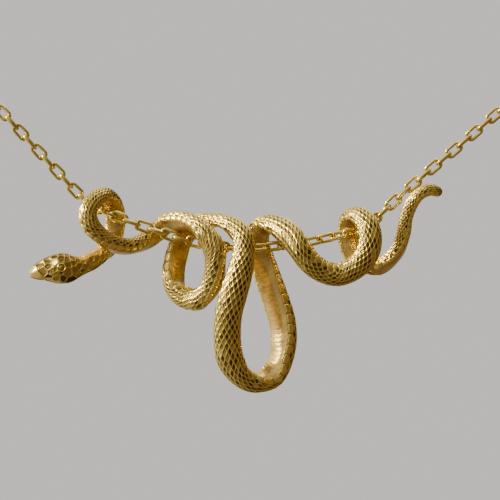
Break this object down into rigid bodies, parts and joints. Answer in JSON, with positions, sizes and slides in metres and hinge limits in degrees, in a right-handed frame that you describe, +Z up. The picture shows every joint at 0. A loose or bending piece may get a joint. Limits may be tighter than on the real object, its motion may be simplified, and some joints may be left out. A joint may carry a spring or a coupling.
{
  "type": "snake pendant necklace",
  "caption": "Cast gold-coloured snake wound in flat loops, with a fine cable chain threaded through its windings that closes round the neck with a ring clasp.",
  "frame": {"origin": "middle of the neck opening at the height of the nape", "axes": "+X to the right and +Y to the back as the wearer is seen from the front, +Z up"},
  "size_m": [0.125, 0.1167, 0.1051],
  "materials": {
    "snake_gold": "satin, darker in the grooves",
    "chain_gold": "polished"
  },
  "bodies": {
    "chain": {"chain_front": "chain_gold", "chain_back": "chain_gold", "clasp": "chain_gold"},
    "pendant": {"snake": "snake_gold"}
  },
  "joints": [
    {"name": "snake_swing", "type": "hinge", "parent": "chain", "child": "pendant", "pos_m": [0, -0.05615, -0.0847], "axis": [1, 0, 0], "range_deg": [-8, 10]}
  ]
}
